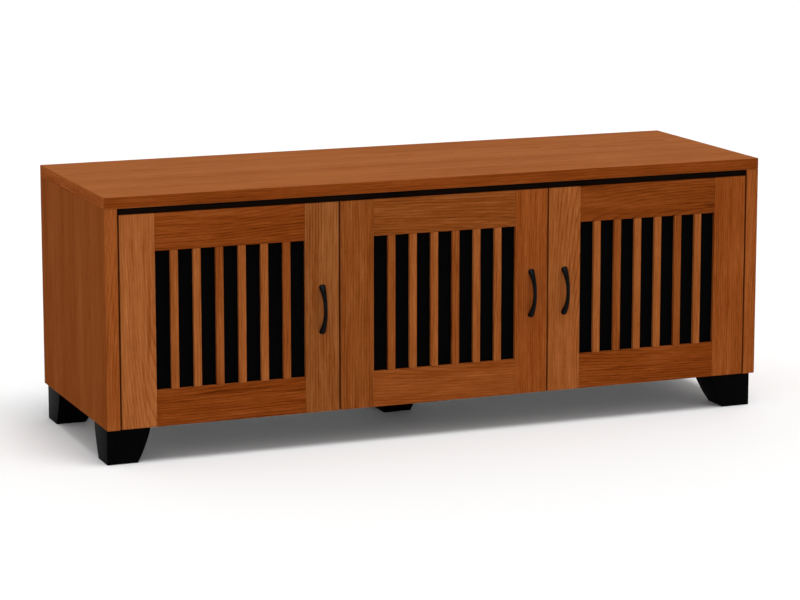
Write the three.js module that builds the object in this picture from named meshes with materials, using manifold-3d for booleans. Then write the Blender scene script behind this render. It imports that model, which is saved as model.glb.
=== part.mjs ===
// Three-door media console cabinet: a low wooden carcase on five black feet, with three slatted,
// cloth-backed doors on concealed hinges.
//
// Units are millimetres. +X runs to the right along the front, +Y towards the back, +Z up.
// The origin is on the floor, midway along the width and midway along the overall depth.

import * as THREE from "three";
import { mergeVertices } from "three/addons/utils/BufferGeometryUtils.js";
import Module from "manifold-3d";

// ---- Driving dimensions -------------------------------------------------------------------

const WIDTH = 1660;
const CARCASE_DEPTH = 545;
const HEIGHT = 621;
const FOOT_HEIGHT = 84;
const TOP_THICKNESS = 27;
const SIDE_THICKNESS = 31;
const BOARD = 19; // dividers, bottom panel, shelves and rails
const CLEARANCE = 0.3; // between pieces that fit into each other

const DOOR_THICKNESS = 21;
const DOOR_SIDE_GAP = 4; // between a door and the panel it hangs on
const DOOR_GAP = 4; // between neighbouring doors
const DOOR_TOP_GAP = 1.5; // between a door and the reveal rail
const DOOR_BOTTOM_GAP = 1; // between a door and the plane of the feet's tops
const REVEAL_HEIGHT = 13.8;
const REVEAL_RECESS = 4;
const STOP_GAP = 2; // between a door's back and what it closes against

const STILE_WIDTH = 83;
const BOTTOM_RAIL_HEIGHT = 85.5;
const TOP_RAIL_HEIGHT = 86.2;
const SLAT_COUNT = 6;
const SLAT_WIDTH = 18;
const SLAT_THICKNESS = 9;
const RABBET_WIDTH = 7.5;
const RABBET_FRONT = 9.5; // how far the cloth's rabbet lies behind the door's face
const CLOTH_THICKNESS = 3;

const HANDLE_LENGTH = 118;
const HANDLE_PROJECTION = 27;
const HANDLE_INSET = 41.5; // from the door's free edge to the handle's centre line
const HANDLE_CENTRE_Z = 328.5;

const HINGE_END_INSET = 75; // from the door's top or bottom to a hinge
const SHELF_Z = 338.5;
const BACK_THICKNESS = 12;

// ---- Sizes that follow from them ----------------------------------------------------------

const LEFT = -WIDTH / 2;
const RIGHT = WIDTH / 2;
const FRONT = -(CARCASE_DEPTH + HANDLE_PROJECTION) / 2 + HANDLE_PROJECTION;
const REAR = FRONT + CARCASE_DEPTH;
const TOP_UNDERSIDE = HEIGHT - TOP_THICKNESS;
const INNER_LEFT = LEFT + SIDE_THICKNESS;
const INNER_RIGHT = RIGHT - SIDE_THICKNESS;
const FLOOR_TOP = FOOT_HEIGHT + BOARD;

const DOOR_BOTTOM = FOOT_HEIGHT + DOOR_BOTTOM_GAP;
const DOOR_TOP = TOP_UNDERSIDE - REVEAL_HEIGHT - DOOR_TOP_GAP;
const DOOR_HEIGHT = DOOR_TOP - DOOR_BOTTOM;
const DOOR_WIDTH = (INNER_RIGHT - INNER_LEFT - 2 * DOOR_SIDE_GAP - 2 * DOOR_GAP) / 3;
const BEHIND_DOORS = FRONT + DOOR_THICKNESS + STOP_GAP;

const BACK_SCREW_FACE = REAR - 16; // the plane that the back panels are fixed against
const LIP_DEPTH = 15; // of the reveal rail's lip behind the doors
const LIP_HEIGHT = 38;

const CENTRE_DOOR_LEFT = INNER_LEFT + DOOR_SIDE_GAP + DOOR_WIDTH + DOOR_GAP;
const RIGHT_DOOR_LEFT = CENTRE_DOOR_LEFT + DOOR_WIDTH + DOOR_GAP;
const LEFT_DIVIDER_RIGHT = CENTRE_DOOR_LEFT - DOOR_SIDE_GAP;
const LEFT_DIVIDER_LEFT = LEFT_DIVIDER_RIGHT - BOARD;
const RIGHT_DIVIDER_LEFT = RIGHT_DOOR_LEFT - DOOR_GAP / 2 - BOARD / 2;
const RIGHT_DIVIDER_RIGHT = RIGHT_DIVIDER_LEFT + BOARD;

// ---- Materials ----------------------------------------------------------------------------

const material = (color, roughness, metalness) =>
  new THREE.MeshStandardMaterial({ color, roughness, metalness });

const CHERRY = material(0x9c5a2c, 0.45, 0);
const CHERRY_TOP = material(0xaa663a, 0.4, 0);
const BLACK_PAINT = material(0x0c0c0d, 0.55, 0);
const BLACK_BOARD = material(0x141414, 0.8, 0);
const CLOTH = material(0x060607, 1, 0);
const HANDLE_METAL = material(0x17181a, 0.45, 0.6);
const STEEL = material(0xb9bcc0, 0.3, 1);

// ---- Solids -------------------------------------------------------------------------------

const wasm = await Module();
wasm.setup();

// A closed geometry as a solid that can be joined and cut.
function solid(geometry) {
  const bare = geometry.clone();
  bare.deleteAttribute("normal");
  bare.deleteAttribute("uv");
  const merged = mergeVertices(bare, 1e-4);
  return new wasm.Manifold(
    new wasm.Mesh({
      numProp: 3,
      vertProperties: merged.attributes.position.array,
      triVerts: new Uint32Array(merged.index.array),
    }),
  );
}

// A solid as a geometry again.
function geometryOf(made) {
  const mesh = made.getMesh();
  const geometry = new THREE.BufferGeometry();
  geometry.setAttribute("position", new THREE.BufferAttribute(mesh.vertProperties, 3));
  geometry.setIndex(new THREE.BufferAttribute(mesh.triVerts, 1));
  geometry.computeVertexNormals();
  return geometry;
}

// A board between two corners.
function board([x0, y0, z0], [x1, y1, z1]) {
  const geometry = new THREE.BoxGeometry(x1 - x0, y1 - y0, z1 - z0);
  return geometry.translate((x0 + x1) / 2, (y0 + y1) / 2, (z0 + z1) / 2);
}

const block = (low, high) => solid(board(low, high));

// An outline in the x-y plane, raised from z0 to z1.
function prism(shape, z0, z1, curveSegments = 12) {
  const options = { depth: z1 - z0, bevelEnabled: false, curveSegments };
  return new THREE.ExtrudeGeometry(shape, options).translate(0, 0, z0);
}

// An outline of (x, z) points, carried from y0 to y1.
function frontOutline(shape, y0, y1, curveSegments = 12) {
  const options = { depth: y1 - y0, bevelEnabled: false, curveSegments };
  return new THREE.ExtrudeGeometry(shape, options).rotateX(Math.PI / 2).translate(0, y1, 0);
}

// An outline of (y, z) points, carried from x0 to x1.
function sideOutline(shape, x0, x1, curveSegments = 12) {
  const options = { depth: x1 - x0, bevelEnabled: false, curveSegments };
  const geometry = new THREE.ExtrudeGeometry(shape, options);
  return geometry.rotateX(Math.PI / 2).rotateZ(Math.PI / 2).translate(x0, 0, 0);
}

const part = new THREE.Group();

function add(name, geometry, finish, group = part) {
  const mesh = new THREE.Mesh(geometry, finish);
  mesh.name = name;
  group.add(mesh);
}

// ---- Carcase ------------------------------------------------------------------------------

function addOuterPanels() {
  add("top_panel", board([LEFT, FRONT, TOP_UNDERSIDE], [RIGHT, REAR, HEIGHT]), CHERRY_TOP);
  const sideLow = [LEFT, FRONT, FOOT_HEIGHT];
  const sideHigh = [INNER_LEFT, REAR, TOP_UNDERSIDE];
  add("left_side_panel", board(sideLow, sideHigh), CHERRY);
  add("right_side_panel", board(sideLow, sideHigh).translate(WIDTH - SIDE_THICKNESS, 0, 0), CHERRY);
  const floorHigh = [INNER_RIGHT, BACK_SCREW_FACE, FLOOR_TOP];
  add("bottom_panel", board([INNER_LEFT, BEHIND_DOORS, FOOT_HEIGHT], floorHigh), BLACK_BOARD);
}

// The black rail above the doors, and its lip, which the doors close against.
function revealRail(grow = 0) {
  const lipBack = BEHIND_DOORS + LIP_DEPTH + grow;
  const band = block(
    [INNER_LEFT, FRONT + REVEAL_RECESS, TOP_UNDERSIDE - REVEAL_HEIGHT - grow],
    [INNER_RIGHT, lipBack, TOP_UNDERSIDE],
  );
  const lip = block(
    [INNER_LEFT, BEHIND_DOORS - grow, TOP_UNDERSIDE - LIP_HEIGHT - grow],
    [INNER_RIGHT, lipBack, TOP_UNDERSIDE],
  );
  return band.add(lip);
}

function addFrameInside() {
  add("reveal_rail", geometryOf(revealRail()), BLACK_BOARD);
  const notch = revealRail(CLEARANCE);
  const railLow = [INNER_LEFT, BACK_SCREW_FACE - BOARD, TOP_UNDERSIDE - 70];
  add("rear_rail", board(railLow, [INNER_RIGHT, BACK_SCREW_FACE, TOP_UNDERSIDE]), BLACK_BOARD);
  const rearNotch = block(
    [INNER_LEFT, railLow[1] - CLEARANCE, railLow[2] - CLEARANCE],
    [INNER_RIGHT, REAR, TOP_UNDERSIDE],
  );
  const dividerLefts = { left_divider: LEFT_DIVIDER_LEFT, right_divider: RIGHT_DIVIDER_LEFT };
  for (const [name, x] of Object.entries(dividerLefts)) {
    const whole = block([x, BEHIND_DOORS, FLOOR_TOP], [x + BOARD, BACK_SCREW_FACE, TOP_UNDERSIDE]);
    add(name, geometryOf(whole.subtract(notch).subtract(rearNotch)), BLACK_BOARD);
  }
}

// The three bays between the panels and dividers, from left to right.
const BAYS = [
  { side: "left", x0: INNER_LEFT, x1: LEFT_DIVIDER_LEFT },
  { side: "centre", x0: LEFT_DIVIDER_RIGHT, x1: RIGHT_DIVIDER_LEFT },
  { side: "right", x0: RIGHT_DIVIDER_RIGHT, x1: INNER_RIGHT },
];

function addShelves() {
  const sideGap = 1;
  for (const { side, x0, x1 } of BAYS) {
    const low = [x0 + sideGap, FRONT + 60, SHELF_Z];
    add(`${side}_shelf`, board(low, [x1 - sideGap, REAR - 45, SHELF_Z + BOARD]), BLACK_BOARD);
  }
}

// A slot with round ends, centred on (x, z).
function slotShape(x, z, width, height) {
  const r = Math.min(width, height) / 2;
  const dx = width / 2 - r;
  const dz = height / 2 - r;
  const shape = new THREE.Shape();
  if (dx > dz) {
    shape.absarc(x + dx, z, r, -Math.PI / 2, Math.PI / 2);
    shape.absarc(x - dx, z, r, Math.PI / 2, (3 * Math.PI) / 2);
  } else {
    shape.absarc(x, z + dz, r, 0, Math.PI);
    shape.absarc(x, z - dz, r, Math.PI, 2 * Math.PI);
  }
  return shape;
}

const VENT_COUNT = 7;
const VENT_PITCH = 34;
const VENT_SIZE = [10, 90];
const VENT_Z = 455;
const OUTLET_SIZE = [150, 50];
const OUTLET_Z = 165;

// A lift-off back panel with a row of vent slots near its top and a cable outlet near its bottom.
function backPanel(x0, x1) {
  const panelFront = BACK_SCREW_FACE + 0.5;
  const panelBack = panelFront + BACK_THICKNESS;
  let panel = block([x0, panelFront, FOOT_HEIGHT + 1], [x1, panelBack, TOP_UNDERSIDE - 1]);
  const middle = (x0 + x1) / 2;
  const holes = [slotShape(middle, OUTLET_Z, ...OUTLET_SIZE)];
  for (let i = 0; i < VENT_COUNT; i++) {
    const x = middle + (i - (VENT_COUNT - 1) / 2) * VENT_PITCH;
    holes.push(slotShape(x, VENT_Z, ...VENT_SIZE));
  }
  for (const hole of holes) {
    panel = panel.subtract(solid(frontOutline(hole, panelFront - 5, panelBack + 5, 6)));
  }
  return geometryOf(panel);
}

function addBackPanels() {
  const gap = 0.5;
  const leftJoint = (LEFT_DIVIDER_LEFT + LEFT_DIVIDER_RIGHT) / 2;
  const rightJoint = (RIGHT_DIVIDER_LEFT + RIGHT_DIVIDER_RIGHT) / 2;
  add("left_back_panel", backPanel(INNER_LEFT + gap, leftJoint - gap), BLACK_BOARD);
  add("centre_back_panel", backPanel(leftJoint + gap, rightJoint - gap), BLACK_BOARD);
  add("right_back_panel", backPanel(rightJoint + gap, INNER_RIGHT - gap), BLACK_BOARD);
}

// ---- Feet ---------------------------------------------------------------------------------

const FOOT_BULGE = 3.5; // how far a tapered face stands out from a straight line
const CORNER_FOOT_INSET = [3.6, 18.5]; // from the carcase's side and from its front or rear
const CORNER_FOOT_TOP = [105, 105];
const CORNER_FOOT_BOTTOM = [73, 73];
const CENTRE_FOOT_TOP = [104, 104];
const CENTRE_FOOT_BOTTOM = [71, 71];
const CENTRE_FOOT_AT = [-12, 37];

// Half of a foot's outline: an upright at 0 and a face that tapers outwards as it rises.
function taperedShape(top, bottom) {
  const shape = new THREE.Shape();
  shape.moveTo(0, 0);
  shape.lineTo(bottom, 0);
  const controlOut = (top + bottom) / 2 + 2 * FOOT_BULGE;
  shape.quadraticCurveTo(controlOut, FOOT_HEIGHT / 2, top, FOOT_HEIGHT);
  shape.lineTo(0, FOOT_HEIGHT);
  return shape;
}

// A corner foot with its plain corner at the origin, tapering towards +x and +y.
function cornerFoot() {
  const [topX, topY] = CORNER_FOOT_TOP;
  const across = solid(frontOutline(taperedShape(topX, CORNER_FOOT_BOTTOM[0]), 0, topY));
  const along = solid(sideOutline(taperedShape(topY, CORNER_FOOT_BOTTOM[1]), 0, topX));
  return across.intersect(along);
}

// The centre foot, centred on the origin and tapered on all four sides.
function centreFoot() {
  const widths = [0, 1].map((k) => [CENTRE_FOOT_TOP[k] / 2, CENTRE_FOOT_BOTTOM[k] / 2]);
  const [halfX, halfY] = widths.map(([top, bottom]) => taperedShape(top, bottom));
  const reachX = widths[0][0];
  const reachY = widths[1][0];
  const right = solid(frontOutline(halfX, -reachY, reachY));
  const back = solid(sideOutline(halfY, -reachX, reachX));
  const across = right.add(right.mirror([1, 0, 0]));
  const along = back.add(back.mirror([0, 1, 0]));
  return across.intersect(along);
}

function addFeet() {
  const [insetX, insetY] = CORNER_FOOT_INSET;
  const corners = [
    ["front_left_foot", [0, 0]],
    ["front_right_foot", [1, 0]],
    ["rear_left_foot", [0, 1]],
    ["rear_right_foot", [1, 1]],
  ];
  for (const [name, [atRight, atRear]] of corners) {
    let foot = cornerFoot();
    if (atRight) foot = foot.mirror([1, 0, 0]);
    if (atRear) foot = foot.mirror([0, 1, 0]);
    const x = atRight ? RIGHT - insetX : LEFT + insetX;
    const y = atRear ? REAR - insetY : FRONT + insetY;
    add(name, geometryOf(foot).translate(x, y, 0), BLACK_PAINT);
  }
  const middle = (FRONT + REAR) / 2;
  const [dx, dy] = CENTRE_FOOT_AT;
  add("centre_foot", geometryOf(centreFoot()).translate(dx, middle + dy, 0), BLACK_PAINT);
}

// ---- Doors --------------------------------------------------------------------------------
// A door is made in its own frame: x from its hinge edge towards its free edge, y from its face
// inwards, z as in the whole. A door hung on its right is the same door, mirrored.

const OPENING_X = [STILE_WIDTH, DOOR_WIDTH - STILE_WIDTH];
const OPENING_Z = [DOOR_BOTTOM + BOTTOM_RAIL_HEIGHT, DOOR_TOP - TOP_RAIL_HEIGHT];
const GROOVE_Y = [2, 7]; // the groove in a rail's inner edge that holds the slats
const GROOVE_DEPTH = 8;
const HINGE_Z = [DOOR_BOTTOM + HINGE_END_INSET, DOOR_TOP - HINGE_END_INSET];

const CUP_RADIUS = 17.5;
const CUP_CENTRE = 22.5; // from the door's hinge edge
const CUP_DEPTH = 12.2;
const CUP_WALL = 0.8;
const FLANGE_RADIUS = 20;
const FLANGE_THICKNESS = 1.2;

// The space behind the slats that the cloth panel lies in.
function rabbet() {
  return block(
    [OPENING_X[0] - RABBET_WIDTH, RABBET_FRONT, OPENING_Z[0] - RABBET_WIDTH],
    [OPENING_X[1] + RABBET_WIDTH, DOOR_THICKNESS + 1, OPENING_Z[1] + RABBET_WIDTH],
  );
}

// A closed round bar along y, from y0 to y1.
function roundAlongY(radius, x, z, y0, y1, segments = 40) {
  const geometry = new THREE.CylinderGeometry(radius, radius, y1 - y0, segments);
  return solid(geometry.translate(x, (y0 + y1) / 2, z));
}

function hingeStile() {
  let stile = block([0, 0, DOOR_BOTTOM], [STILE_WIDTH, DOOR_THICKNESS, DOOR_TOP]);
  stile = stile.subtract(rabbet());
  for (const z of HINGE_Z) {
    const bottom = DOOR_THICKNESS - CUP_DEPTH;
    const bore = roundAlongY(CUP_RADIUS + CLEARANCE, CUP_CENTRE, z, bottom, DOOR_THICKNESS + 1);
    stile = stile.subtract(bore);
  }
  return stile;
}

function handleStile() {
  const low = [DOOR_WIDTH - STILE_WIDTH, 0, DOOR_BOTTOM];
  return block(low, [DOOR_WIDTH, DOOR_THICKNESS, DOOR_TOP]).subtract(rabbet());
}

function doorRail(z0, z1, edgeZ, intoRail) {
  const rail = block([OPENING_X[0], 0, z0], [OPENING_X[1], DOOR_THICKNESS, z1]);
  const grooveEnd = edgeZ + intoRail * GROOVE_DEPTH;
  const groove = block(
    [OPENING_X[0], GROOVE_Y[0], Math.min(edgeZ, grooveEnd)],
    [OPENING_X[1], GROOVE_Y[1], Math.max(edgeZ, grooveEnd)],
  );
  return rail.subtract(rabbet()).subtract(groove);
}

// Six upright slats, joined by the spacer fillets that fill the rails' grooves between them.
function slatGrille() {
  const slot = (OPENING_X[1] - OPENING_X[0] - SLAT_COUNT * SLAT_WIDTH) / (SLAT_COUNT + 1);
  const filletX = [OPENING_X[0] + CLEARANCE, OPENING_X[1] - CLEARANCE];
  const filletY = [GROOVE_Y[0] + CLEARANCE, GROOVE_Y[1] - CLEARANCE];
  const reach = GROOVE_DEPTH - CLEARANCE;
  const overlap = 1; // the fillets stand this far above the groove, so the slats grip them
  let grille = block(
    [filletX[0], filletY[0], OPENING_Z[0] - reach],
    [filletX[1], filletY[1], OPENING_Z[0] + overlap],
  );
  grille = grille.add(
    block(
      [filletX[0], filletY[0], OPENING_Z[1] - overlap],
      [filletX[1], filletY[1], OPENING_Z[1] + reach],
    ),
  );
  for (let i = 0; i < SLAT_COUNT; i++) {
    const x = OPENING_X[0] + slot + i * (slot + SLAT_WIDTH);
    const low = [x, 0, OPENING_Z[0] + CLEARANCE];
    const high = [x + SLAT_WIDTH, SLAT_THICKNESS, OPENING_Z[1] - CLEARANCE];
    grille = grille.add(block(low, high));
  }
  return grille;
}

function clothPanel() {
  const inset = RABBET_WIDTH - CLEARANCE;
  const front = RABBET_FRONT + CLEARANCE;
  return block(
    [OPENING_X[0] - inset, front, OPENING_Z[0] - inset],
    [OPENING_X[1] + inset, front + CLOTH_THICKNESS, OPENING_Z[1] + inset],
  );
}

// The arc through (y 0, z +-reach) and (y -height, z 0), as its radius and centre.
function bowArc(reach, height) {
  const radius = (reach * reach + height * height) / (2 * height);
  return { radius, centre: radius - height, half: Math.asin(reach / radius) };
}

// The bow handle: a bowed bar, wide at its two feet and slim in the middle.
function handle() {
  const standOff = CLEARANCE;
  const outer = bowArc(HANDLE_LENGTH / 2, HANDLE_PROJECTION - standOff);
  const inner = bowArc(HANDLE_LENGTH / 2 - 10, HANDLE_PROJECTION - standOff - 7.5);
  const side = new THREE.Shape();
  side.absarc(outer.centre, 0, outer.radius, Math.PI - outer.half, Math.PI + outer.half);
  side.absarc(inner.centre, 0, inner.radius, Math.PI + inner.half, Math.PI - inner.half, true);
  const halfFoot = 6.5;
  const halfMiddle = 3.75;
  const reach = HANDLE_LENGTH / 2 + 1;
  const front = new THREE.Shape();
  front.moveTo(-halfFoot, -reach);
  front.lineTo(halfFoot, -reach);
  front.quadraticCurveTo(2 * halfMiddle - halfFoot, 0, halfFoot, reach);
  front.lineTo(-halfFoot, reach);
  front.quadraticCurveTo(halfFoot - 2 * halfMiddle, 0, -halfFoot, -reach);
  const bow = solid(sideOutline(side, -halfFoot, halfFoot, 14));
  const trim = solid(frontOutline(front, -HANDLE_PROJECTION - 1, 1, 10));
  const x = DOOR_WIDTH - HANDLE_INSET;
  return bow.intersect(trim).translate([x, -standOff, HANDLE_CENTRE_Z]);
}

// ---- Hinges -------------------------------------------------------------------------------
// A door turns about the upright line at its hinge edge and face, so the link and the arm's nose
// are arcs about that line. Angles run from straight inwards (0) towards the door (90).

const LINK_RADII = [27, 30];
const LINK_ANGLES = [-3, 66.5];
const NOSE_RADII = [31, 34];
const NOSE_ANGLES = [-3.5, 68];
const HINGE_WIDTH = 12;
const ARM_Y = [35, 92];
const ARM_HEIGHT = 9;
const PLATE_Y = [42, 80];
const PLATE_WIDTH = 46;
const PLATE_THICKNESS = 2.5;

function arcShape([r0, r1], [from, to]) {
  const a0 = Math.PI / 2 - THREE.MathUtils.degToRad(from);
  const a1 = Math.PI / 2 - THREE.MathUtils.degToRad(to);
  const shape = new THREE.Shape();
  shape.absarc(0, 0, r1, a1, a0);
  shape.absarc(0, 0, r0, a0, a1, true);
  return shape;
}

function hingeCup(z) {
  const bottom = DOOR_THICKNESS - CUP_DEPTH + CLEARANCE;
  const flangeFront = DOOR_THICKNESS + CLEARANCE;
  const flangeBack = flangeFront + FLANGE_THICKNESS;
  const can = roundAlongY(CUP_RADIUS, CUP_CENTRE, z, bottom, flangeBack);
  const flange = roundAlongY(FLANGE_RADIUS, CUP_CENTRE, z, flangeFront, flangeBack);
  const inside = CUP_RADIUS - CUP_WALL;
  const hollow = roundAlongY(inside, CUP_CENTRE, z, bottom + CUP_WALL, flangeBack + 1);
  const ears = block([CUP_CENTRE - 6, flangeFront, z - 32], [CUP_CENTRE + 14, flangeBack, z + 32]);
  return can.add(flange).add(ears).subtract(hollow);
}

function hingeLink(z) {
  return solid(prism(arcShape(LINK_RADII, LINK_ANGLES), z - HINGE_WIDTH / 2, z + HINGE_WIDTH / 2, 8));
}

// The arm: its nose reaches into the cup, and its plate is screwed to the panel beside the door.
function hingeArm(z) {
  const face = -DOOR_SIDE_GAP + CLEARANCE;
  const low = z - HINGE_WIDTH / 2;
  const high = z + HINGE_WIDTH / 2;
  const nose = solid(prism(arcShape(NOSE_RADII, NOSE_ANGLES), low, high, 8));
  const root = block([face, NOSE_RADII[0], low], [face + 3, ARM_Y[0] + 4, high]);
  const arm = block([face, ARM_Y[0], low], [face + ARM_HEIGHT, ARM_Y[1], high]);
  const plate = block(
    [face, PLATE_Y[0], z - PLATE_WIDTH / 2],
    [face + PLATE_THICKNESS, PLATE_Y[1], z + PLATE_WIDTH / 2],
  );
  return nose.add(root).add(arm).add(plate);
}

// ---- The three doors, each with its two hinges ---------------------------------------------

function addDoor(side, hingeX, hungOnRight) {
  const group = new THREE.Group();
  group.position.set(hingeX, FRONT, 0);
  part.add(group);
  const put = (name, made, finish) => {
    const turned = hungOnRight ? made.mirror([1, 0, 0]) : made;
    add(`${side}_${name}`, geometryOf(turned), finish, group);
  };
  put("door_hinge_stile", hingeStile(), CHERRY);
  put("door_handle_stile", handleStile(), CHERRY);
  put("door_bottom_rail", doorRail(DOOR_BOTTOM, OPENING_Z[0], OPENING_Z[0], -1), CHERRY);
  put("door_top_rail", doorRail(OPENING_Z[1], DOOR_TOP, OPENING_Z[1], 1), CHERRY);
  put("door_slat_grille", slatGrille(), CHERRY);
  put("door_grille_cloth", clothPanel(), CLOTH);
  put("door_handle", handle(), HANDLE_METAL);
  HINGE_Z.forEach((z, i) => {
    const level = ["lower", "upper"][i];
    put(`${level}_hinge_cup`, hingeCup(z), STEEL);
    put(`${level}_hinge_link`, hingeLink(z), STEEL);
    put(`${level}_hinge_arm`, hingeArm(z), STEEL);
  });
}

addOuterPanels();
addFrameInside();
addShelves();
addBackPanels();
addFeet();
addDoor("left", INNER_LEFT + DOOR_SIDE_GAP, false);
addDoor("centre", CENTRE_DOOR_LEFT, false);
addDoor("right", INNER_RIGHT - DOOR_SIDE_GAP, true);

export default part;
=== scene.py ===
"""The looks of a three-door media console cabinet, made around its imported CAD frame.

Lengths are in metres. +X runs to the right along the front, +Y towards the back, +Z up.
"""

import math

import bmesh
import bpy
from mathutils import Matrix, Vector


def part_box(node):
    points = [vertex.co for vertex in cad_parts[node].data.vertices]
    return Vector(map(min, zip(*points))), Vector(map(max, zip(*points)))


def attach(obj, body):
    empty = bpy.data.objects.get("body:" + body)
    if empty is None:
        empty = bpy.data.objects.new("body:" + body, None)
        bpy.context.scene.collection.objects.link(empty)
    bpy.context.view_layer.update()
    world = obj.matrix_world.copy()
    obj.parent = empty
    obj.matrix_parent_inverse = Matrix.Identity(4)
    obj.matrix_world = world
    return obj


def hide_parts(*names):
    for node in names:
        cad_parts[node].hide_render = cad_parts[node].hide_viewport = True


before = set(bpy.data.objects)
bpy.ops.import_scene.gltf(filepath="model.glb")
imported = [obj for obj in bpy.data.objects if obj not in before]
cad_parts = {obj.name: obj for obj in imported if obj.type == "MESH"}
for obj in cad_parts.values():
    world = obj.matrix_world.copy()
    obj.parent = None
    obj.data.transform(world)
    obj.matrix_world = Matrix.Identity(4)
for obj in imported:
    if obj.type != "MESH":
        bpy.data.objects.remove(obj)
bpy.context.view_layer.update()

MM = 0.001
SIDES = ("left", "centre", "right")
LEVELS = ("lower", "upper")
BAY_PANELS = {
    "left": ("left_side_panel", "left_divider"),
    "centre": ("left_divider", "right_divider"),
    "right": ("right_divider", "right_side_panel"),
}
DOOR_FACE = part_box("left_door_hinge_stile")[0].y
DOOR_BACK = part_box("left_door_hinge_stile")[1].y


# ---- Camera, light and floor ---------------------------------------------------------------

CAMERA_AT = (-2.6254, -6.4995, 1.6513)
CAMERA_TURN = 21.914  # degrees to the right of straight towards the back
CAMERA_DIP = 9.886  # degrees below the horizon
CAMERA_LENS = 131.58  # millimetres
CAMERA_SENSOR = 36  # millimetres across
CAMERA_SHIFT = -0.075  # upright lens shift, as a share of the sensor's width
CAMERA_REACH = 100  # how far off it still sees


def make_camera():
    data = bpy.data.cameras.new("camera")
    data.sensor_width = CAMERA_SENSOR
    data.lens = CAMERA_LENS
    data.shift_y = CAMERA_SHIFT
    data.clip_end = CAMERA_REACH
    camera = bpy.data.objects.new("camera", data)
    camera.location = CAMERA_AT
    camera.rotation_euler = (math.radians(90 - CAMERA_DIP), 0, math.radians(-CAMERA_TURN))
    bpy.context.scene.collection.objects.link(camera)
    bpy.context.scene.camera = camera


SKY_OVERHEAD = 0.56
SKY_LOW = 4.0  # the walls of the studio are brighter than its ceiling
SKY_BLEND = 0.28  # sine of the height at which the ceiling's brightness is reached
KEY_STRENGTH = 1.6
KEY_WIDTH = 30  # degrees across: how soft its shadows are
KEY_FROM = (0.10, -0.26, 1.0)  # nearly overhead, a little in front and to the right


def make_lights():
    world = bpy.data.worlds.new("studio")
    world.use_nodes = True
    g = Graph(world.node_tree)
    direction = g.node("ShaderNodeTexCoord").outputs["Generated"]
    rise = g.node("ShaderNodeSeparateXYZ", {0: direction}).outputs[2]
    inputs = {"Value": rise, "From Max": SKY_BLEND, "To Min": SKY_LOW, "To Max": SKY_OVERHEAD}
    blend = g.node("ShaderNodeMapRange", inputs, interpolation_type="SMOOTHSTEP")
    background = world.node_tree.nodes["Background"]
    background.inputs["Color"].default_value = (1, 1, 1, 1)
    g.put(blend.outputs["Result"], background.inputs["Strength"])
    bpy.context.scene.world = world
    data = bpy.data.lights.new("key", "SUN")
    data.energy = KEY_STRENGTH
    data.angle = math.radians(KEY_WIDTH)
    key = bpy.data.objects.new("key", data)
    key.rotation_euler = Vector(KEY_FROM).to_track_quat("Z", "Y").to_euler()
    bpy.context.scene.collection.objects.link(key)


FLOOR_REACH = 60  # from its middle to each edge
FLOOR_COLOUR = (0.95, 0.95, 0.95, 1)
FLOOR_ROUGHNESS = 0.9
FLOOR_SPECULAR = 0.1


def make_floor():
    bm = bmesh.new()
    bmesh.ops.create_grid(bm, x_segments=1, y_segments=1, size=FLOOR_REACH)
    mesh = bpy.data.meshes.new("floor")
    bm.to_mesh(mesh)
    bm.free()
    floor = bpy.data.objects.new("floor", mesh)
    bpy.context.scene.collection.objects.link(floor)
    material = bpy.data.materials.new("floor_paper")
    material.use_nodes = True
    shader = material.node_tree.nodes["Principled BSDF"]
    shader.inputs["Base Color"].default_value = FLOOR_COLOUR
    shader.inputs["Roughness"].default_value = FLOOR_ROUGHNESS
    shader.inputs["Specular IOR Level"].default_value = FLOOR_SPECULAR
    mesh.materials.append(material)


# ---- Node helpers --------------------------------------------------------------------------


class Graph:
    """Adds nodes to a node tree and links them; an input may be a number or a socket."""

    def __init__(self, tree):
        self.tree = tree

    def put(self, value, socket):
        if isinstance(value, bpy.types.NodeSocket):
            self.tree.links.new(value, socket)
        else:
            socket.default_value = value

    def node(self, kind, inputs=None, **settings):
        made = self.tree.nodes.new(kind)
        for key, value in settings.items():
            setattr(made, key, value)
        for key, value in (inputs or {}).items():
            self.put(value, made.inputs[key])
        return made

    def math(self, operation, *values):
        made = self.node("ShaderNodeMath", operation=operation)
        for i, value in enumerate(values):
            self.put(value, made.inputs[i])
        return made.outputs[0]

    def vector(self, x, y, z):
        return self.node("ShaderNodeCombineXYZ", {0: x, 1: y, 2: z}).outputs[0]

    def stretched(self, parts, scales):
        """A vector whose x, y and z are each taken times a scale of its own."""
        scaled = [self.math("MULTIPLY", part, scale) for part, scale in zip(parts, scales)]
        return self.vector(*scaled)

    def noise(self, vector, scale=1.0, detail=2.0, roughness=0.5):
        inputs = {"Vector": vector, "Scale": scale, "Detail": detail, "Roughness": roughness}
        return self.node("ShaderNodeTexNoise", inputs).outputs["Fac"]

    def ramp(self, value, stops):
        made = self.node("ShaderNodeValToRGB", {"Fac": value})
        elements = made.color_ramp.elements
        for _ in stops[2:]:
            elements.new(0.5)
        for element, (position, colour) in zip(elements, stops):
            element.position = position
            element.color = (*colour, 1)
        return made.outputs["Color"]

    def mix(self, factor, a, b, blend="MIX"):
        made = self.node("ShaderNodeMix", data_type="RGBA", blend_type=blend)
        self.put(factor, made.inputs["Factor"])
        self.put(a, made.inputs["A"])
        self.put(b, made.inputs["B"])
        return made.outputs["Result"]

    def bump(self, height, distance, strength):
        inputs = {"Height": height, "Distance": distance, "Strength": strength}
        return self.node("ShaderNodeBump", inputs).outputs["Normal"]


def grey(level):
    return (level, level, level)


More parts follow.
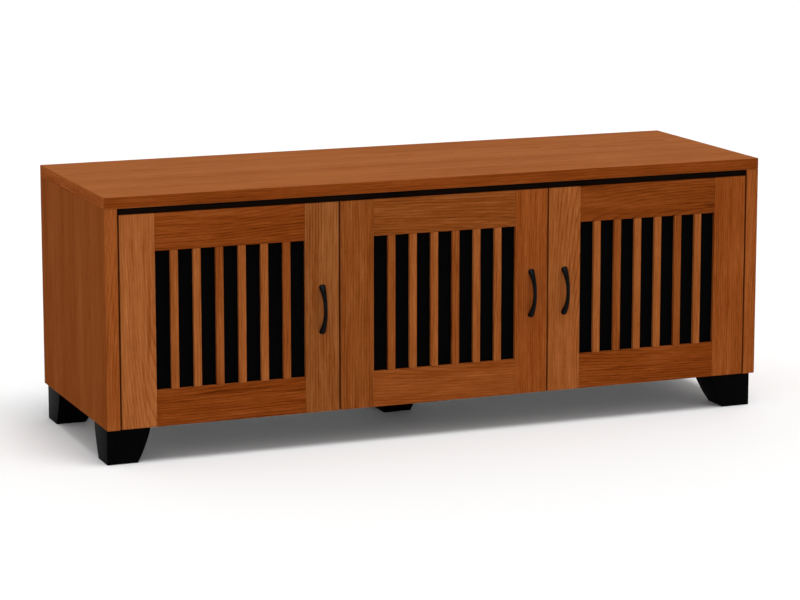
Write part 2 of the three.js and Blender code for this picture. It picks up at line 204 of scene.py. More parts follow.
def start_material(name):
    """A new material's graph, its shader and its object coordinates, split into x, y and z."""
    material = bpy.data.materials.new(name)
    material.use_nodes = True
    graph = Graph(material.node_tree)
    shader = material.node_tree.nodes["Principled BSDF"]
    place = graph.node("ShaderNodeTexCoord").outputs["Object"]
    split = graph.node("ShaderNodeSeparateXYZ", {0: place})
    return material, graph, shader, place, split.outputs


# ---- Cherry wood ---------------------------------------------------------------------------

PALE_CHERRY = (0.345, 0.111, 0.029)
WARM_CHERRY = (0.246, 0.067, 0.0140)
DEEP_CHERRY = (0.165, 0.035, 0.0050)
DARK_CHERRY = (0.055, 0.009, 0.0011)
BROWN_TINT = (1.0, 1.28, 1.7, 1.0)  # what turns red cherry into a browner board
CHERRY_SPECULAR = 0.0008
RINGS_PER_METRE = 150
PITH_BEHIND = 0.024  # how far behind a board's face the middle of its rings lies
SEED_STEP = 3.7  # how far along the pattern a seed greater by one moves it
GRAIN_RELIEF = 0.12 * MM
ON_AXIS = 0.7  # a face lies on an axis where its normal's share along it is above this
PLAIN_FIGURE = {
    "Seed": 0.0,
    "Pith": 0.0,
    "Tilt": 0.05,
    "Tone": 0.4,
    "Figure": 1.0,
    "Strips": 0.0,
    "Brown": 0.0,
}


def make_grain_group():
    """Cherry grain from how far a point lies across, into and along its board.

    Growth rings round a pith that runs aslant behind the face give the flat-sawn figure;
    streaks, dark veins, fibre and pores run along it. Strips is how strongly a wide panel
    changes tone from one soft lengthwise strip to the next, and Brown how brown the board is.
    """
    tree = bpy.data.node_groups.new("cherry_grain", "ShaderNodeTree")
    for name in ("Across", "Depth", "Along", *PLAIN_FIGURE):
        tree.interface.new_socket(name, in_out="INPUT", socket_type="NodeSocketFloat")
    tree.interface.new_socket("Color", in_out="OUTPUT", socket_type="NodeSocketColor")
    for name in ("Roughness", "Height"):
        tree.interface.new_socket(name, in_out="OUTPUT", socket_type="NodeSocketFloat")
    g = Graph(tree)
    given = tree.nodes.new("NodeGroupInput").outputs
    across, depth, along = given["Across"], given["Depth"], given["Along"]
    seed = given["Seed"]

    def streaks(across_scale, along_scale, shift, **settings):
        """Noise drawn out along the board; a shift of its own keeps it apart from the others."""
        a = g.math("MULTIPLY", across, across_scale)
        d = g.math("MULTIPLY", depth, across_scale)
        start = g.math("MULTIPLY_ADD", seed, SEED_STEP, shift)
        w = g.math("MULTIPLY_ADD", along, along_scale, start)
        return g.noise(g.vector(a, d, w), **settings)

    def vary(noise, share, onto):
        """Adds a share of a noise to a value, so that the value's mean stays the same."""
        return g.math("MULTIPLY_ADD", g.math("SUBTRACT", noise, 0.5), share, onto)

    deep = g.math("MULTIPLY_ADD", along, given["Tilt"], g.math("ADD", depth, PITH_BEHIND))
    off_pith = g.math("SUBTRACT", across, given["Pith"])
    round_pith = g.math("ADD", g.math("POWER", off_pith, 2.0), g.math("POWER", deep, 2.0))
    radius = vary(streaks(6.0, 1.6, 11.0), 0.030, g.math("SQRT", round_pith))
    radius = vary(streaks(40.0, 6.0, 23.0), 0.0035, radius)
    saw = g.math("FRACT", g.math("MULTIPLY", radius, RINGS_PER_METRE))
    late_wood = [(0.0, grey(0.3)), (0.05, grey(0.0)), (0.62, grey(0.06)), (0.88, grey(0.3))]
    ring = g.ramp(saw, late_wood + [(0.96, grey(1.0)), (1.0, grey(0.6))])
    strong = g.ramp(streaks(18.0, 2.5, 83.0), [(0.35, grey(0.3)), (0.6, grey(1.0))])
    ring = g.math("MULTIPLY", ring, strong)

    vein = [(0.488, grey(0.0)), (0.498, grey(1.0)), (0.502, grey(1.0)), (0.512, grey(0.0))]
    veins = g.ramp(streaks(70.0, 1.2, 91.0, detail=1.0), vein)
    sparse = g.ramp(streaks(30.0, 4.0, 97.0), [(0.45, grey(0.0)), (0.6, grey(1.0))])
    veins = g.math("MULTIPLY", veins, sparse)
    strip = streaks(14.0, 0.3, 13.0, detail=1.0)
    broad = streaks(45.0, 2.0, 5.0)
    medium = streaks(130.0, 9.0, 17.0)
    fine = streaks(300.0, 26.0, 31.0, detail=3.0, roughness=0.65)
    fibre = streaks(1100.0, 30.0, 47.0, roughness=0.6)
    blotch = streaks(9.0, 3.0, 59.0)
    pores = g.ramp(streaks(1500.0, 55.0, 71.0, detail=1.0), [(0.62, grey(0.0)), (0.72, grey(1.0))])

    shade = g.math("MULTIPLY", ring, 0.46)
    shade = g.math("MULTIPLY_ADD", veins, 0.20, shade)
    shares = ((broad, 0.40), (medium, 0.48), (fine, 0.52), (fibre, 0.22), (blotch, 0.30))
    for noise, share in shares:
        shade = vary(noise, share, shade)
    shade = g.math("MULTIPLY_ADD", shade, given["Figure"], given["Tone"])
    shade = vary(strip, given["Strips"], shade)
    tones = [(0.0, PALE_CHERRY), (0.30, WARM_CHERRY), (0.60, DEEP_CHERRY), (1.0, DARK_CHERRY)]
    colour = g.mix(given["Brown"], g.ramp(shade, tones), BROWN_TINT, "MULTIPLY")
    colour = g.mix(g.math("MULTIPLY", pores, 0.35), colour, (*DARK_CHERRY, 1))

    roughness = g.math("MULTIPLY_ADD", fine, 0.16, 0.5)
    height = g.math("MULTIPLY_ADD", pores, -0.6, g.math("MULTIPLY", fine, 0.5))
    sink = g.node("NodeGroupOutput").inputs
    g.put(colour, sink["Color"])
    g.put(roughness, sink["Roughness"])
    g.put(height, sink["Height"])
    return tree


GRAIN = make_grain_group()
AXES = "xyz"


def board_place(g, place, box, face_axis, along):
    """How far a point lies across its board, in from the nearer face, and along the board."""
    low, high = box
    face = AXES.index(face_axis)
    length = AXES.index(along)
    offset = [g.math("SUBTRACT", place[i], (low[i] + high[i]) / 2) for i in range(3)]
    depth = g.math("SUBTRACT", (high[face] - low[face]) / 2, g.math("ABSOLUTE", offset[face]))
    return offset[3 - face - length], depth, offset[length]


def add_grain(g, place, box, face_axis, along, **figure):
    """The grain of one board between two corners: its colour, roughness and height."""
    spot = dict(zip(("Across", "Depth", "Along"), board_place(g, place, box, face_axis, along)))
    inputs = {**spot, **PLAIN_FIGURE, **figure}
    return g.node("ShaderNodeGroup", inputs, node_tree=GRAIN).outputs


def cherry(name, box, face_axis, along, edges=(), **figure):
    """Cherry for one board between two corners, whose faces lie along face_axis.

    Each edge, as (face_axis, along, figure), gives the faces on its axis a grain of their own,
    as an edge strip has. A figure holds any of the grain's inputs from Seed to Brown.
    """
    material, g, shader, _, place = start_material(name)
    grain = add_grain(g, place, box, face_axis, along, **figure)
    colour, height = grain["Color"], grain["Height"]
    for edge_axis, edge_along, edge_figure in edges:
        edge = add_grain(g, place, box, edge_axis, edge_along, **edge_figure)
        normal = g.node("ShaderNodeTexCoord").outputs["Normal"]
        lie = g.node("ShaderNodeSeparateXYZ", {0: normal}).outputs[AXES.index(edge_axis)]
        is_edge = g.math("GREATER_THAN", g.math("ABSOLUTE", lie), ON_AXIS)
        colour = g.mix(is_edge, colour, edge["Color"])
        height = g.math("MULTIPLY_ADD", g.math("SUBTRACT", edge["Height"], height), is_edge, height)
    g.put(colour, shader.inputs["Base Color"])
    g.put(grain["Roughness"], shader.inputs["Roughness"])
    g.put(g.bump(height, GRAIN_RELIEF, 0.5), shader.inputs["Normal"])
    shader.inputs["Specular IOR Level"].default_value = CHERRY_SPECULAR
    return material


# ---- Other materials -----------------------------------------------------------------------


def black_laminate(name, colour, specular):
    """Matte black laminate: a fine pebbled surface, with a drift of tone round its colour."""
    material, g, shader, place, _ = start_material(name)
    pebble = g.noise(place, scale=900.0, detail=3.0, roughness=0.6)
    drift = g.noise(place, scale=6.0, detail=3.0)
    dark, light = ([share * level for level in colour] for share in (0.7, 1.3))
    g.put(g.ramp(drift, [(0.3, dark), (0.7, light)]), shader.inputs["Base Color"])
    g.put(g.math("MULTIPLY_ADD", pebble, 0.2, 0.5), shader.inputs["Roughness"])
    g.put(g.bump(pebble, 0.08 * MM, 0.6), shader.inputs["Normal"])
    shader.inputs["Specular IOR Level"].default_value = specular
    return material


def black_paint():
    """Satin black paint over wood: sanded grain just shows, with a little orange peel."""
    material, g, shader, place, split = start_material("black_paint")
    grain = g.noise(g.stretched(split, (260.0, 260.0, 22.0)), detail=3.0)
    peel = g.noise(place, scale=320.0)
    height = g.math("MULTIPLY_ADD", grain, 0.6, g.math("MULTIPLY", peel, 0.5))
    g.put(g.ramp(grain, [(0.3, grey(0.0005)), (0.8, grey(0.0014))]), shader.inputs["Base Color"])
    g.put(g.math("MULTIPLY_ADD", peel, 0.14, 0.42), shader.inputs["Roughness"])
    g.put(g.bump(height, 0.1 * MM, 0.5), shader.inputs["Normal"])
    shader.inputs["Specular IOR Level"].default_value = 0.012
    return material


def powder_coat():
    """Black powder coat on metal: fine orange peel, with a faint cloud of paler, rougher wear."""
    material, g, shader, place, _ = start_material("black_powder_coat")
    peel = g.noise(place, scale=1400.0)
    wear = g.noise(place, scale=120.0, detail=4.0)
    g.put(g.ramp(wear, [(0.35, grey(0.0010)), (0.75, grey(0.0030))]), shader.inputs["Base Color"])
    g.put(g.math("MULTIPLY_ADD", wear, 0.18, 0.30), shader.inputs["Roughness"])
    g.put(g.bump(peel, 0.06 * MM, 0.6), shader.inputs["Normal"])
    shader.inputs["Specular IOR Level"].default_value = 0.05
    return material


THREAD_SPACING = 0.7 * MM


def grille_cloth():
    """Open-weave acoustic cloth, of two crossing sets of threads."""
    material, g, shader, _, (x, _, z) = start_material("grille_cloth")
    turn = 2 * math.pi / THREAD_SPACING
    warp = g.math("SINE", g.math("MULTIPLY", x, turn))
    weft = g.math("SINE", g.math("MULTIPLY", z, turn))
    weave = g.math("MULTIPLY", warp, weft)
    fuzz = g.noise(g.vector(x, 0.0, z), scale=2600.0)
    height = g.math("MULTIPLY_ADD", fuzz, 0.4, weave)
    share = g.math("MULTIPLY_ADD", weave, 0.5, 0.5)
    tones = [(0.2, grey(0.0004)), (0.9, grey(0.0018))]
    g.put(g.ramp(share, tones), shader.inputs["Base Color"])
    g.put(g.bump(height, 0.2 * MM, 0.7), shader.inputs["Normal"])
    shader.inputs["Roughness"].default_value = 0.95
    shader.inputs["Specular IOR Level"].default_value = 0.02
    return material


def plated_steel():
    """Nickel-plated stamped steel: faint drawing lines and a little cloud in the gloss."""
    material, g, shader, place, split = start_material("nickel_plate")
    lines = g.noise(g.stretched(split, (500.0, 500.0, 4000.0)))
    cloud = g.noise(place, scale=90.0, detail=3.0)
    tones = [(0.3, (0.56, 0.56, 0.55)), (0.7, (0.68, 0.68, 0.67))]
    g.put(g.ramp(cloud, tones), shader.inputs["Base Color"])
    g.put(g.math("MULTIPLY_ADD", cloud, 0.2, 0.18), shader.inputs["Roughness"])
    g.put(g.bump(lines, 0.03 * MM, 0.4), shader.inputs["Normal"])
    shader.inputs["Metallic"].default_value = 1.0
    return material


def soft_rubber():
    """Grey rubber of the door bumpers, with a dusting of specks."""
    material, g, shader, place, _ = start_material("bumper_rubber")
    specks = g.noise(place, scale=1800.0)
    g.put(g.ramp(specks, [(0.3, grey(0.10)), (0.7, grey(0.16))]), shader.inputs["Base Color"])
    g.put(g.bump(specks, 0.05 * MM, 0.5), shader.inputs["Normal"])
    shader.inputs["Roughness"].default_value = 0.6
    return material


RAIL_LAMINATE = black_laminate("rail_laminate", (0.0040, 0.0022, 0.0014), 0.004)
BOARD_LAMINATE = black_laminate("board_laminate", (0.0110, 0.0105, 0.0105), 0.15)
BLACK_PAINT = black_paint()
POWDER_COAT = powder_coat()
CLOTH = grille_cloth()
STEEL = plated_steel()
RUBBER = soft_rubber()


# ---- Mesh helpers --------------------------------------------------------------------------

EDGE_ANGLE = math.radians(35)  # faces that meet at more than this have an edge between them
TO_BACK = (0, 1, 0)


def add_block(bm, low, high):
    """An axis-aligned box between two corners, as part of bm."""
    size = Vector(high) - Vector(low)
    middle = (Vector(high) + Vector(low)) / 2
    matrix = Matrix.Translation(middle) @ Matrix.Diagonal((*size, 1))
    bmesh.ops.create_cube(bm, size=1, matrix=matrix)


def add_rings(bm, rings, close=False):
    """Skins a list of rings, each of as many points; the ends are capped unless close joins them."""
    rows = [[bm.verts.new(p) for p in ring] for ring in rings]
    pairs = list(zip(rows, rows[1:]))
    if close:
        pairs.append((rows[-1], rows[0]))
    count = len(rows[0])
    for lower, upper in pairs:
        for i in range(count):
            j = (i + 1) % count
            bm.faces.new((lower[i], lower[j], upper[j], upper[i]))
    if not close:
        bm.faces.new(rows[0])
        bm.faces.new(rows[-1])


def add_turned(bm, profile, at, axis, segments=24):
    """A piece turned about an axis through a point; profile is (radius, height) pairs along it."""
    frame_of = Vector(axis).to_track_quat("Z", "Y").to_matrix()
    rings = []
    for radius, height in profile:
        ring = []
        for i in range(segments):
            turn = 2 * math.pi * i / segments
            local = Vector((radius * math.cos(turn), radius * math.sin(turn), height))
            ring.append(Vector(at) + frame_of @ local)
        rings.append(ring)
    add_rings(bm, rings)


def smooth_faces(mesh):
    for polygon in mesh.polygons:
        polygon.use_smooth = True


def add_bevel(obj, width, segments=2):
    bevel = obj.modifiers.new("eased_edges", "BEVEL")
    bevel.width = width
    bevel.segments = segments
    bevel.limit_method = "ANGLE"
    bevel.angle_limit = EDGE_ANGLE
    bevel.harden_normals = True


def finish_piece(name, bm, material, body, bevel=0.0, replaces=()):
    bmesh.ops.recalc_face_normals(bm, faces=bm.faces)
    mesh = bpy.data.meshes.new(name)
    bm.to_mesh(mesh)
    bm.free()
    mesh.materials.append(material)
    smooth_faces(mesh)
    obj = bpy.data.objects.new(name, mesh)
    bpy.context.scene.collection.objects.link(obj)
    if bevel:
        add_bevel(obj, bevel)
    else:
        mesh.set_sharp_from_angle(angle=EDGE_ANGLE)
    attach(obj, body)
    if replaces:
        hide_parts(*replaces)
    return obj


# ---- Carried-over CAD boards ---------------------------------------------------------------


WELD_DISTANCE = 0.02 * MM
FLAT_TURN = math.radians(1)  # facets that turn by less than this are one flat face
TOP_EDGE = 1.2 * MM  # how far each kind of piece's edges are eased
SIDE_EDGE = 1.0 * MM
FRAME_EDGE = 0.8 * MM
BOARD_EDGE = 0.6 * MM
HINGE_EDGE = 0.3 * MM


def dress_node(name, material, bevel, segments=3):
    """Gives a CAD node its material and eases its edges, leaving its mesh as it is."""
    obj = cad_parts[name]
    obj.data.materials.clear()
    obj.data.materials.append(material)
    weld = obj.modifiers.new("weld", "WELD")
    weld.merge_threshold = WELD_DISTANCE
    flat = obj.modifiers.new("flat_faces", "DECIMATE")
    flat.decimate_type = "DISSOLVE"
    flat.angle_limit = FLAT_TURN
    add_bevel(obj, bevel, segments)


def dress_carcase():
    end = ("x", "y", {"Seed": 6.2, "Tone": 0.40, "Pith": 0.16, "Tilt": 0.01})
    front = ("y", "x", {"Seed": 8.8, "Tone": 0.58, "Pith": 0.2, "Tilt": 0.02, "Figure": 0.8})
    look = {"Seed": 4.1, "Tone": 0.07, "Pith": 0.1, "Figure": 0.75, "Strips": 0.3}
    wood = cherry("cherry_top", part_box("top_panel"), "z", "x", (end, front), **look)
    dress_node("top_panel", wood, TOP_EDGE)
    for name, seed in (("left_side_panel", 9.3), ("right_side_panel", 2.7)):
        front = ("y", "z", {"Seed": seed + 5.0, "Tone": 0.35, "Pith": 0.04, "Tilt": 0.12})
        look = {"Seed": seed, "Tone": 0.54, "Pith": 0.3, "Tilt": 0.02, "Figure": 0.5}
        look.update({"Strips": 0.25, "Brown": 0.5})
        wood = cherry("cherry_" + name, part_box(name), "x", "z", (front,), **look)
        dress_node(name, wood, SIDE_EDGE)
    dress_node("reveal_rail", RAIL_LAMINATE, BOARD_EDGE, 2)
    boards = ["bottom_panel", "left_divider", "right_divider", "rear_rail"]
    boards += [side + "_shelf" for side in SIDES] + [side + "_back_panel" for side in SIDES]
    for name in boards:
        dress_node(name, BOARD_LAMINATE, BOARD_EDGE, 2)


def dress_hinges():
    for side in SIDES:
        for level in LEVELS:
            for part in ("cup", "link", "arm"):
                dress_node(f"{side}_{level}_hinge_{part}", STEEL, HINGE_EDGE, 2)


# ---- Doors ---------------------------------------------------------------------------------

SLAT_COUNT = 6
SLAT_WIDTH = 18 * MM
SLAT_THICKNESS = 9 * MM
TONGUE_FRONT = 2.3 * MM  # from the door's face
TONGUE_BACK = 6.7 * MM
FIT = 0.3 * MM
FILLET_GAP = 0.1 * MM  # how far a fillet stops below its groove's mouth
SLAT_EDGE = 0.6 * MM
FILLET_EDGE = 0.2 * MM


# How each frame board is cut: its tone, how far its pith lies from its middle, the tilt of
# the pith along it, and how brown it is. Stiles have upright grain and rails level grain.
BOARD_FIGURES = {
    "left_door_hinge_stile": (0.20, 0.052, -0.14, 0.3),
    "left_door_handle_stile": (0.46, 0.12, 0.02, 1.0),
    "left_door_bottom_rail": (0.57, 0.055, 0.10, 0.0),
    "left_door_top_rail": (0.58, 0.060, 0.08, 0.0),
    "centre_door_hinge_stile": (0.50, -0.10, 0.02, 0.6),
    "centre_door_handle_stile": (0.42, 0.09, 0.04, 0.0),
    "centre_door_bottom_rail": (0.43, 0.060, -0.09, 0.1),
    "centre_door_top_rail": (0.52, -0.055, 0.10, 0.6),
    "right_door_hinge_stile": (0.43, 0.10, -0.03, 0.0),
    "right_door_handle_stile": (0.29, 0.052, 0.14, 0.3),
    "right_door_bottom_rail": (0.57, 0.060, -0.09, 0.0),
    "right_door_top_rail": (0.62, -0.045, -0.13, 0.2),
}


def dress_door_frame(side, k):
    for board in ("hinge_stile", "handle_stile", "bottom_rail", "top_rail"):
        node = f"{side}_door_{board}"
        tone, pith, tilt, brown = BOARD_FIGURES[node]
        along = "z" if board.endswith("stile") else "x"
        look = {"Seed": 1.7 + 3.1 * k + 0.83 * len(board)}
        look.update({"Tone": tone, "Pith": pith, "Tilt": tilt, "Brown": brown})
        wood = cherry("cherry_" + node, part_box(node), "y", along, **look)
        dress_node(node, wood, FRAME_EDGE)


def make_slats(side, k):
    """Six separate slats with a tongue at each end, and the fillets that space them."""
    body = side + "_door"
    rail_low, rail_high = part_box(body + "_bottom_rail")
    top_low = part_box(body + "_top_rail")[0]
    tongue_low, tongue_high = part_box(body + "_slat_grille")
    x0, x1, z0, z1 = rail_low.x, rail_high.x, rail_high.z, top_low.z
    gap = (x1 - x0 - SLAT_COUNT * SLAT_WIDTH) / (SLAT_COUNT + 1)
    front, back = DOOR_FACE, DOOR_FACE + SLAT_THICKNESS
    tongue_front, tongue_back = DOOR_FACE + TONGUE_FRONT, DOOR_FACE + TONGUE_BACK

    def slat_end(shoulder, tip):
        end = [(front, shoulder), (tongue_front, shoulder), (tongue_front, tip)]
        return end + [(tongue_back, tip), (tongue_back, shoulder), (back, shoulder)]

    outline = slat_end(z0 + FIT, tongue_low.z) + slat_end(z1 - FIT, tongue_high.z)[::-1]
    for i in range(SLAT_COUNT):
        left = x0 + gap + i * (gap + SLAT_WIDTH)
        bm = bmesh.new()
        add_rings(bm, [[(x, y, z) for y, z in outline] for x in (left, left + SLAT_WIDTH)])
        tone = 0.34 + 0.11 * math.sin(4.1 * i + 2 * k)
        look = {"Seed": 2.9 + 1.37 * i + 11 * k, "Tone": tone, "Pith": 0.05}
        look.update({"Figure": 0.95, "Brown": 0.25})
        box = (Vector((left, front, z0)), Vector((left + SLAT_WIDTH, back, z1)))
        wood = cherry(f"cherry_{side}_slat_{i + 1}", box, "y", "z", **look)
        node = [body + "_slat_grille"] if i == 0 else []
        finish_piece(f"{body}_slat_{i + 1}", bm, wood, body, SLAT_EDGE, node)

    bm = bmesh.new()
    for low, high in ((tongue_low.z, z0 - FILLET_GAP), (z1 + FILLET_GAP, tongue_high.z)):
        for i in range(SLAT_COUNT + 1):
            start = x0 + i * (gap + SLAT_WIDTH)
            fillet_low = (start + FIT, tongue_front, low)
            add_block(bm, fillet_low, (start + gap - FIT, tongue_back, high))
    wood = cherry(f"cherry_{side}_fillets", (rail_low, rail_high), "y", "x", Seed=7.7 + k)
    finish_piece(f"{body}_spacer_fillets", bm, wood, body, FILLET_EDGE)


CLOTH_GAUGE = 0.5 * MM
CLOTH_TURN = 12 * MM  # how far the cloth is turned over the back of its frame
CLOTH_FRAME_WIDTH = 20 * MM
CLOTH_FRAME_EDGE = 0.2 * MM
CLOTH_EDGE = 0.15 * MM
CLOTH_CLEAR = 0.02 * MM  # between the turned-over cloth and its frame


def rectangle(x0, x1, z0, z1, y):
    return [(x0, y, z0), (x1, y, z0), (x1, y, z1), (x0, y, z1)]


def make_cloth(side):
    """The stretcher frame in the rabbet, and the cloth stretched over it."""
    body = side + "_door"
    low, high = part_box(body + "_grille_cloth")
    x0, x1, z0, z1 = low.x, high.x, low.z, high.z
    g, w = CLOTH_GAUGE, CLOTH_FRAME_WIDTH
    outer = (x0 + g, x1 - g, z0 + g, z1 - g)
    inner = (outer[0] + w, outer[1] - w, outer[2] + w, outer[3] - w)
    y0, y1 = low.y + g, high.y - g
    bm = bmesh.new()
    section = ((outer, y0), (outer, y1), (inner, y1), (inner, y0))
    add_rings(bm, [rectangle(*sides, y) for sides, y in section], close=True)
    name = body + "_cloth_frame"
    stretcher = finish_piece(name, bm, BOARD_LAMINATE, body, CLOTH_FRAME_EDGE)

    skin = [(0, low.y), (0, high.y), (CLOTH_TURN, high.y)]
    under = high.y - g + CLOTH_CLEAR
    lining = [(CLOTH_TURN, under), (g, under), (g, low.y + g)]
    bm = bmesh.new()
    rings = [rectangle(x0 + d, x1 - d, z0 + d, z1 - d, y) for d, y in skin + lining]
    add_rings(bm, rings)
    node = body + "_grille_cloth"
    cloth = finish_piece(body + "_cloth", bm, CLOTH, body, CLOTH_EDGE, [node])


HANDLE_STEPS = 40  # sections along the bow
HANDLE_POINTS = 20  # points round each section
HANDLE_HALF_WIDTH = 4.4 * MM  # this and the half depth are in the middle of the bow
HANDLE_HALF_DEPTH = 3.9 * MM
HANDLE_FOOT_WIDER = 5.2 * MM
HANDLE_FOOT_DEEPER = 2.2 * MM
HANDLE_FLARE = 2.2  # how late the section widens towards its feet
HANDLE_SQUARENESS = 0.8  # 1 makes the section an ellipse, and less squares its corners
HANDLE_OVERRUN = 1.12  # the bow is drawn this much past its feet, and then cut flat
HANDLE_WELD = 0.05 * MM
HANDLE_EDGE = 0.4 * MM
HANDLE_SCREW_SPREAD = 48 * MM
HANDLE_SCREW = (4.2 * MM, 1.89 * MM)  # a head's radius and height


def make_handle(side):
    """A bow handle: its section is wide at the feet and slim and round in the middle."""
    body = side + "_door"
    low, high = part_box(body + "_handle")
    middle = (low + high) / 2
    reach = (high.z - low.z) / 2
    rise = high.y - low.y
    outer_radius = (reach**2 + rise**2) / (2 * rise)
    half_turn = math.asin(reach / outer_radius)
    rings = []
    for i in range(HANDLE_STEPS + 1):
        t = 2 * i / HANDLE_STEPS - 1
        flare = abs(t) ** HANDLE_FLARE
        half_width = HANDLE_HALF_WIDTH + HANDLE_FOOT_WIDER * flare
        half_depth = HANDLE_HALF_DEPTH + HANDLE_FOOT_DEEPER * flare
        turn = t * half_turn * HANDLE_OVERRUN
        radius = outer_radius - half_depth
        y_mid = high.y + outer_radius - rise - radius * math.cos(turn)
        z_mid = middle.z + radius * math.sin(turn)
        ring = []
        for j in range(HANDLE_POINTS):
            a = 2 * math.pi * j / HANDLE_POINTS
            c, s = math.cos(a), math.sin(a)
            x = middle.x + half_width * math.copysign(abs(c) ** HANDLE_SQUARENESS, c)
            out = half_depth * math.copysign(abs(s) ** HANDLE_SQUARENESS, s)
            ring.append((x, y_mid - out * math.cos(turn), z_mid + out * math.sin(turn)))
        rings.append(ring)
    bm = bmesh.new()
    add_rings(bm, rings)
    everything = bm.verts[:] + bm.edges[:] + bm.faces[:]
    cut = bmesh.ops.bisect_plane(
        bm, geom=everything, plane_co=(0, high.y, 0), plane_no=TO_BACK, clear_outer=True
    )
    edges = [e for e in cut["geom_cut"] if isinstance(e, bmesh.types.BMEdge)]
    bmesh.ops.edgeloop_fill(bm, edges=edges)
    bmesh.ops.remove_doubles(bm, verts=bm.verts[:], dist=HANDLE_WELD)
    node = body + "_handle"
    finish_piece(node + "_bow", bm, POWDER_COAT, body, HANDLE_EDGE, [node])
    bm = bmesh.new()
    for sign in (-1, 1):
        at = (middle.x, DOOR_BACK, middle.z + sign * HANDLE_SCREW_SPREAD)
        add_screw_head(bm, at, TO_BACK, HANDLE_SCREW)
    finish_piece(body + "_handle_screws", bm, STEEL, body)


def add_screw_head(bm, at, axis, size):
    """A domed screw head of a radius and height, with a round socket, as part of bm."""
    radius, tall = size
    socket = radius * 0.42
    rim = [(radius, 0), (radius, tall * 0.45)]
    dome = [(radius * 0.86, tall * 0.85), (radius * 0.62, tall)]
    hollow = [(socket, tall), (socket, tall * 0.35), (socket * 0.1, tall * 0.3)]
    add_turned(bm, rim + dome + hollow, at, axis)


BUMPER_PROFILE = [(5 * MM, 0), (5 * MM, 0.9 * MM), (4 * MM, 1.5 * MM), (0.5 * MM, 1.6 * MM)]
BUMPER_FROM_EDGE = 18 * MM
BUMPER_FROM_END = 10 * MM


def make_bumpers(side):
    """Two soft dots on the free edge of each door, where it meets the carcase."""
    body = side + "_door"
    low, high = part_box(body + "_handle_stile")
    x = low.x + BUMPER_FROM_EDGE if side == "right" else high.x - BUMPER_FROM_EDGE
    bm = bmesh.new()
    for z in (low.z + BUMPER_FROM_END, high.z - BUMPER_FROM_END):
        add_turned(bm, BUMPER_PROFILE, (x, DOOR_BACK, z), TO_BACK)
    finish_piece(body + "_bumpers", bm, RUBBER, body)


CUP_SCREW = (3.6 * MM, 1.2 * MM)  # each size here is a head's radius and height
CUP_SCREW_INSET = 10 * MM
CUP_SCREW_SPREAD = 25 * MM
PLATE_SCREW = (3.8 * MM, 1.3 * MM)
PLATE_SCREW_RISE = 2.5 * MM  # from the panel that the arm is screwed to
PLATE_SCREW_FORWARD = 31 * MM  # from the arm's rear end
PLATE_SCREW_SPREAD = 16 * MM
ARM_SCREW = (3.4 * MM, 1.2 * MM)
ARM_SCREW_RISE = 9 * MM
ARM_SCREWS_FORWARD = (10 * MM, 42 * MM)


def make_hinge_screws(side):
    """Two screw heads beside each hinge's cup, and four on its arm and the arm's plate."""
    body = side + "_door"
    sign = -1 if side == "right" else 1
    bm_door, bm_arm = bmesh.new(), bmesh.new()
    for level in LEVELS:
        low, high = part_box(f"{side}_{level}_hinge_cup")
        z = (low.z + high.z) / 2
        x = (high.x if sign > 0 else low.x) - sign * CUP_SCREW_INSET
        for dz in (-CUP_SCREW_SPREAD, CUP_SCREW_SPREAD):
            add_screw_head(bm_door, (x, high.y, z + dz), TO_BACK, CUP_SCREW)
        low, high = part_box(f"{side}_{level}_hinge_arm")
        foot = low.x if sign > 0 else high.x
        for dz in (-PLATE_SCREW_SPREAD, PLATE_SCREW_SPREAD):
            at = (foot + sign * PLATE_SCREW_RISE, high.y - PLATE_SCREW_FORWARD, z + dz)
            add_screw_head(bm_arm, at, (sign, 0, 0), PLATE_SCREW)
        for forward in ARM_SCREWS_FORWARD:
            at = (foot + sign * ARM_SCREW_RISE, high.y - forward, z)
            add_screw_head(bm_arm, at, (sign, 0, 0), ARM_SCREW)
    finish_piece(f"{side}_hinge_cup_screws", bm_door, STEEL, body)
    finish_piece(f"{side}_hinge_arm_screws", bm_arm, STEEL, "cabinet")


def make_doors():
    for k, side in enumerate(SIDES):
        dress_door_frame(side, k)
        make_slats(side, k)
        make_cloth(side)
        make_handle(side)
        make_bumpers(side)
        make_hinge_screws(side)


# ---- Feet ----------------------------------------------------------------------------------

FOOT_BULGE = 3.5 * MM
CORNER_FOOT_BOTTOM = (73 * MM, 73 * MM)
CENTRE_FOOT_BOTTOM = (71 * MM, 71 * MM)
FOOT_LEVELS = 24
FOOT_EASE = 0.8 * MM  # how far its top and bottom edges are eased
FOOT_CORNER = 1.6 * MM  # the radius of its upright edges


def tapered(top, bottom, share):
    """A foot's reach at a share of its height, bulging outwards between bottom and top."""
    control = (top + bottom) / 2 + 2 * FOOT_BULGE
    return bottom * (1 - share) ** 2 + 2 * control * share * (1 - share) + top * share**2


def rounded_rectangle(x0, x1, y0, y1, z, radius, steps=4):
    corners = [(x1, y1, 0), (x0, y1, 1), (x0, y0, 2), (x1, y0, 3)]
    ring = []
    for x, y, quarter in corners:
        cx = x - radius if quarter in (0, 3) else x + radius
        cy = y - radius if quarter in (0, 1) else y + radius
        for i in range(steps + 1):
            a = math.pi / 2 * (quarter + i / steps)
            ring.append((cx + radius * math.cos(a), cy + radius * math.sin(a), z))
    return ring


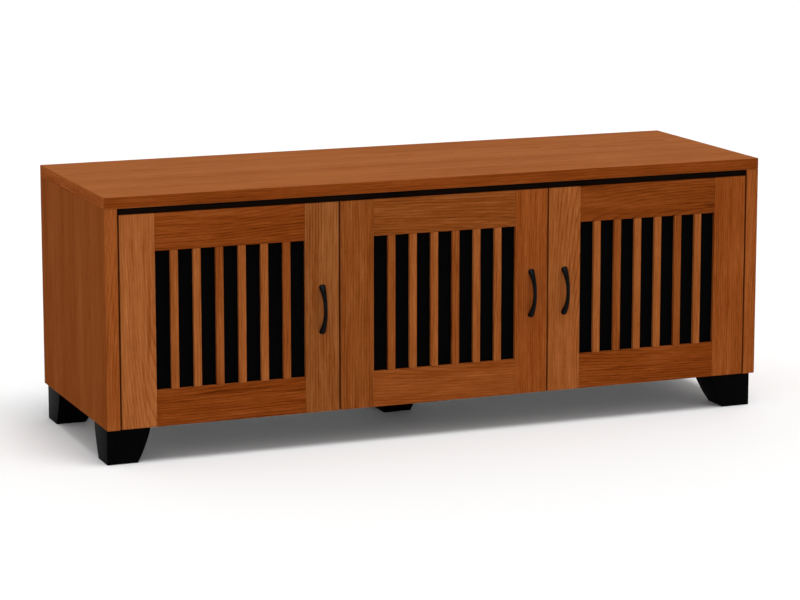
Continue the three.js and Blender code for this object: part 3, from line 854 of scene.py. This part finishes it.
def make_foot(node, bottom, sign):
    """sign says which way each taper faces: -1 or 1, or 0 where both faces taper."""
    low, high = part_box(node)
    size = high - low
    tall = size.z
    levels = [(0, FOOT_EASE), (FOOT_EASE, 0)]
    levels += [(tall * i / FOOT_LEVELS, 0) for i in range(1, FOOT_LEVELS)]
    levels += [(tall - FOOT_EASE, 0), (tall, FOOT_EASE)]
    rings = []
    for z, inset in levels:
        spans = []
        for k in (0, 1):
            if sign[k]:
                reach = tapered(size[k], bottom[k], z / tall)
                span = (low[k], low[k] + reach) if sign[k] > 0 else (high[k] - reach, high[k])
            else:
                reach = tapered(size[k] / 2, bottom[k] / 2, z / tall)
                middle = (low[k] + high[k]) / 2
                span = (middle - reach, middle + reach)
            spans += [span[0] + inset, span[1] - inset]
        rings.append(rounded_rectangle(*spans, z, FOOT_CORNER))
    bm = bmesh.new()
    add_rings(bm, rings)
    finish_piece(node + "_block", bm, BLACK_PAINT, "cabinet", replaces=[node])


def make_feet():
    for name, sign in (
        ("front_left_foot", (1, 1)),
        ("front_right_foot", (-1, 1)),
        ("rear_left_foot", (1, -1)),
        ("rear_right_foot", (-1, -1)),
    ):
        make_foot(name, CORNER_FOOT_BOTTOM, sign)
    make_foot("centre_foot", CENTRE_FOOT_BOTTOM, (0, 0))


# ---- Small carcase hardware ----------------------------------------------------------------


PIN_PROFILE = [(4 * MM, 0.45 * MM), (4 * MM, 1.4 * MM), (2.5 * MM, 1.5 * MM)]
PIN_PROFILE += [(2.5 * MM, 8 * MM), (2.1 * MM, 8.5 * MM)]
SLEEVE_PROFILE = [(3.6 * MM, 0), (3.6 * MM, 0.2 * MM), (2.6 * MM, 0.25 * MM), (2.5 * MM, 0.05 * MM)]
PIN_BELOW_SHELF = 2.7 * MM
PIN_FROM_EDGE = 45 * MM
HOLE_SPACING = 32 * MM
HOLES_EACH_WAY = 5  # above the pin, and as many below it
BACK_SCREW = (4 * MM, 1.6 * MM)
BACK_SCREW_FROM_EDGE = 9 * MM


def bay_faces(side):
    """The x of the two inner faces of a bay."""
    left, right = BAY_PANELS[side]
    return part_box(left)[1].x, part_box(right)[0].x


def make_shelf_hardware(side):
    """Four pins under the shelf, and the rows of sleeves that they can be moved to."""
    low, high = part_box(side + "_shelf")
    faces = bay_faces(side)
    rows = (low.y + PIN_FROM_EDGE, high.y - PIN_FROM_EDGE)
    pin_z = low.z - PIN_BELOW_SHELF
    steps = [i for i in range(-HOLES_EACH_WAY, HOLES_EACH_WAY + 1) if i != 0]
    pins, sleeves = bmesh.new(), bmesh.new()
    for x, sign in zip(faces, (1, -1)):
        for y in rows:
            add_turned(pins, PIN_PROFILE, (x, y, pin_z), (sign, 0, 0), 20)
            for i in steps:
                hole = (x, y, pin_z + HOLE_SPACING * i)
                add_turned(sleeves, SLEEVE_PROFILE, hole, (sign, 0, 0), 16)
    finish_piece(side + "_shelf_pins", pins, STEEL, "cabinet")
    finish_piece(side + "_shelf_pin_sleeves", sleeves, BLACK_PAINT, "cabinet")


def make_back_screws(side):
    """Eight screws round a back panel: three along its top and bottom, and one at each side."""
    low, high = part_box(side + "_back_panel")
    middle = (low + high) / 2
    left, right = low.x + BACK_SCREW_FROM_EDGE, high.x - BACK_SCREW_FROM_EDGE
    bottom, top = low.z + BACK_SCREW_FROM_EDGE, high.z - BACK_SCREW_FROM_EDGE
    places = [(x, z) for x in (left, middle.x, right) for z in (bottom, top)]
    places += [(x, middle.z) for x in (left, right)]
    bm = bmesh.new()
    for x, z in places:
        add_screw_head(bm, (x, high.y, z), TO_BACK, BACK_SCREW)
    finish_piece(side + "_back_screws", bm, STEEL, "cabinet")


# ---- Build ---------------------------------------------------------------------------------


def set_picture_colours():
    view = bpy.context.scene.view_settings
    view.view_transform = "Standard"


make_camera()
make_lights()
make_floor()
set_picture_colours()
dress_carcase()
dress_hinges()
make_doors()
make_feet()
for bay in SIDES:
    make_shelf_hardware(bay)
    make_back_screws(bay)
